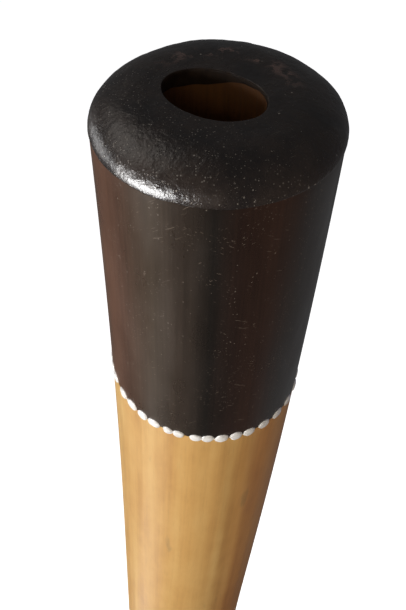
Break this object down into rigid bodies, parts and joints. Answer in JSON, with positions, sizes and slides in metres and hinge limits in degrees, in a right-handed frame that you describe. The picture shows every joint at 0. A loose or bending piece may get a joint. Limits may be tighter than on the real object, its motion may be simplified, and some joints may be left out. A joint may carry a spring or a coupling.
{
  "type": "didgeridoo",
  "caption": "Wooden didgeridoo, gently bowed, with a rounded lacquered mouth end, dark stained bands bordered by raised white paint dots, and a flared bell to stand on.",
  "frame": {"origin": "centre of the bell's rim, at the bottom of the box around the part", "axes": "+Z from the bell up to the mouth; the tube bows towards -X; the glued seams lie on +X and -X; -Y is the front"},
  "size_m": [0.1058, 0.1058, 1.25],
  "materials": {
    "wood_front": "clear lacquered, satin gloss outside, bare in the bore",
    "wood_back": "clear lacquered, satin gloss outside, bare in the bore",
    "wood_glue": "dried wood glue, matt",
    "black_lacquer": "thick brushed lacquer, satin gloss, finely wrinkled",
    "dark_stain": "dark translucent stain under clear lacquer, satin gloss",
    "white_paint": "raised acrylic paint dots, slightly glossy"
  },
  "bodies": {
    "root": {"front_half_shell": "wood_front", "back_half_shell": "wood_back", "glue_seam_left": "wood_glue", "glue_seam_right": "wood_glue", "mouth_lacquer": "black_lacquer", "neck_stain": "dark_stain", "neck_dots": "white_paint", "bell_stain": "dark_stain", "bell_dots": "white_paint"}
  },
  "joints": []
}
